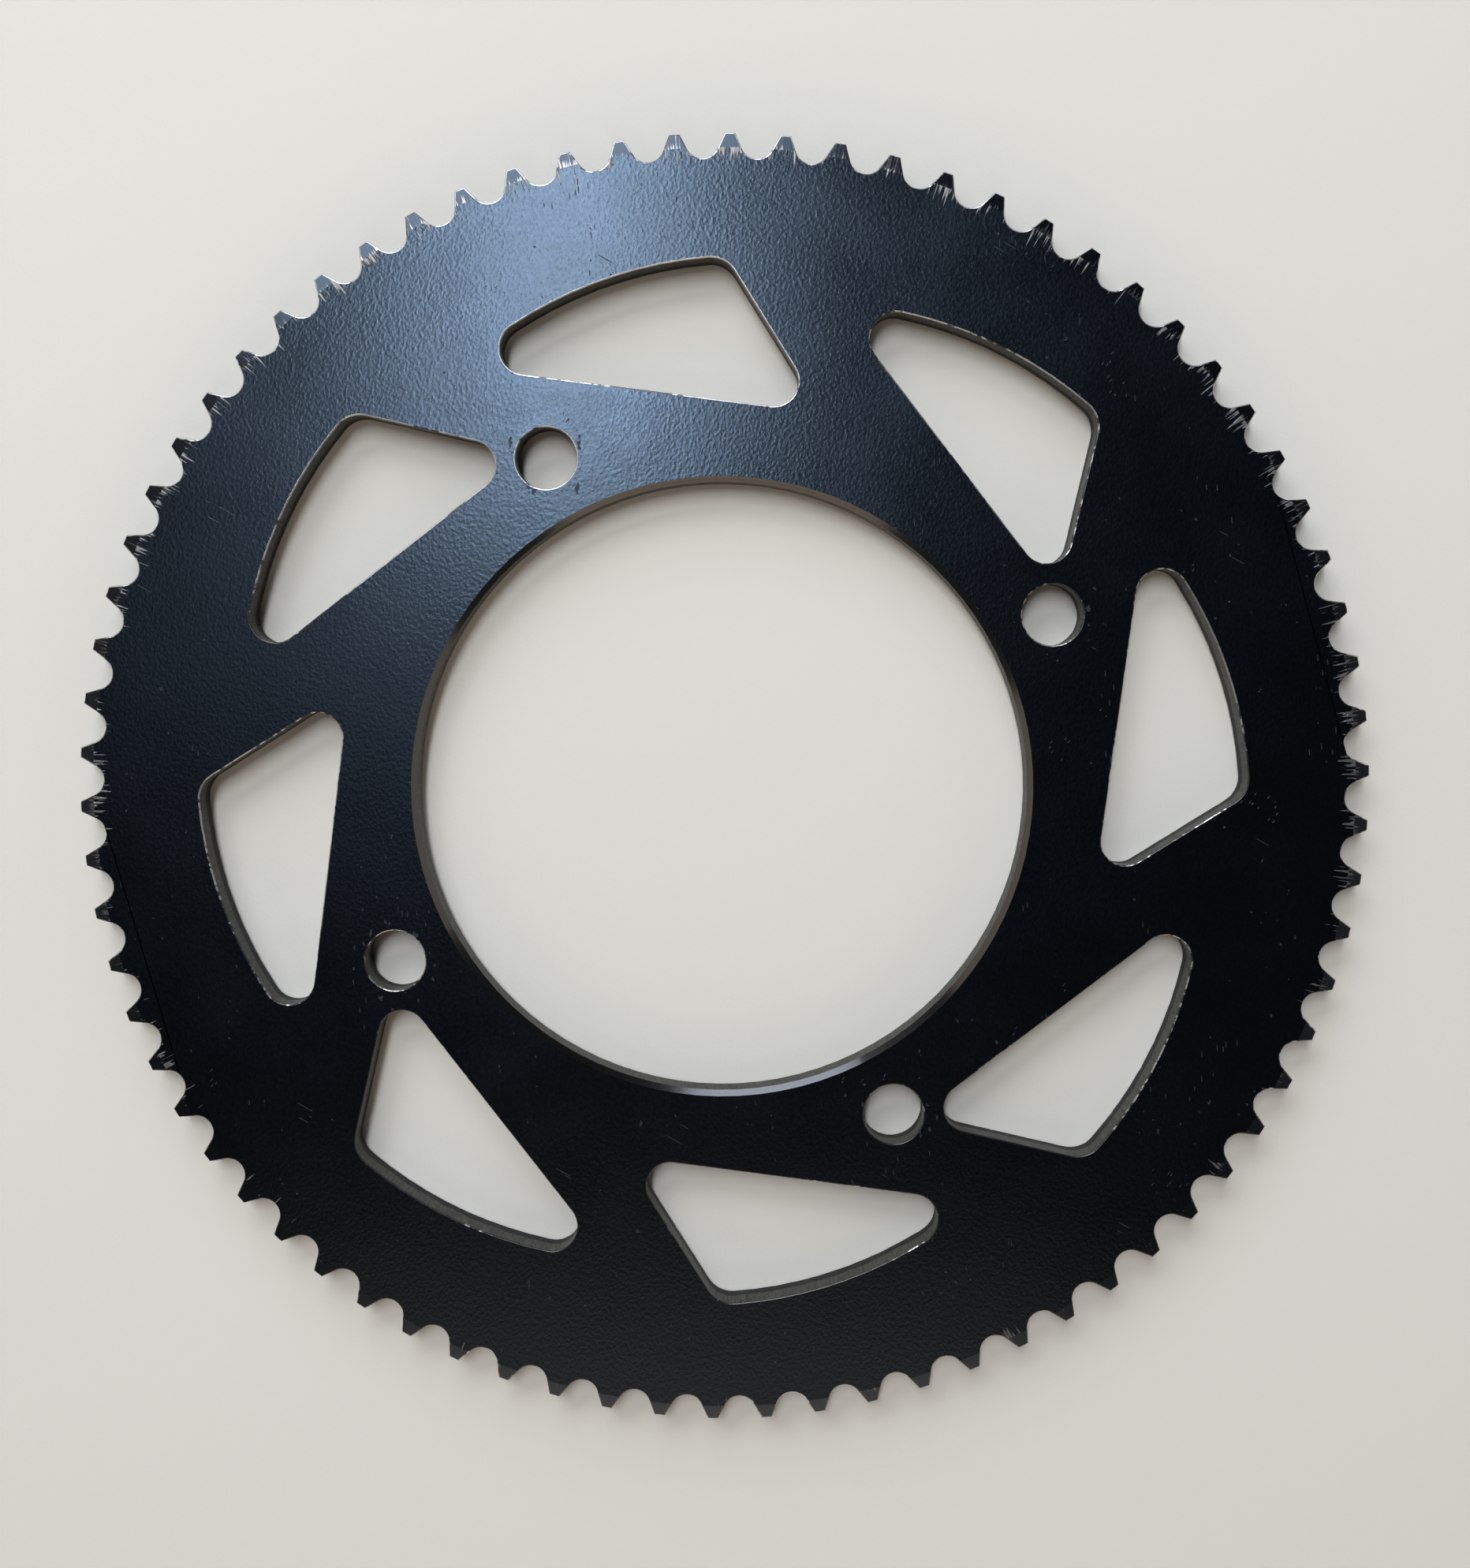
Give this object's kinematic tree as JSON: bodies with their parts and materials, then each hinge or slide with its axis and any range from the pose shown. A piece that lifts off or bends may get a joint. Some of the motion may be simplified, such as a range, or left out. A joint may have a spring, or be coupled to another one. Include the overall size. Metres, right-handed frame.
{
  "type": "rear sprocket",
  "caption": "Flat steel chain sprocket for a small motorcycle's rear wheel, with a large hub bore, bolt holes on a circle and leaning windows cut through the plate.",
  "frame": {"origin": "on the axle line, at the hub face (the underside of the plate as it lies)", "axes": "+Z along the axle, out through the outer face; +X through a tooth gap"},
  "size_m": [0.191, 0.1912, 0.0044],
  "materials": {
    "black_coat": "satin"
  },
  "bodies": {
    "root": {"sprocket_plate": "black_coat"}
  },
  "joints": []
}
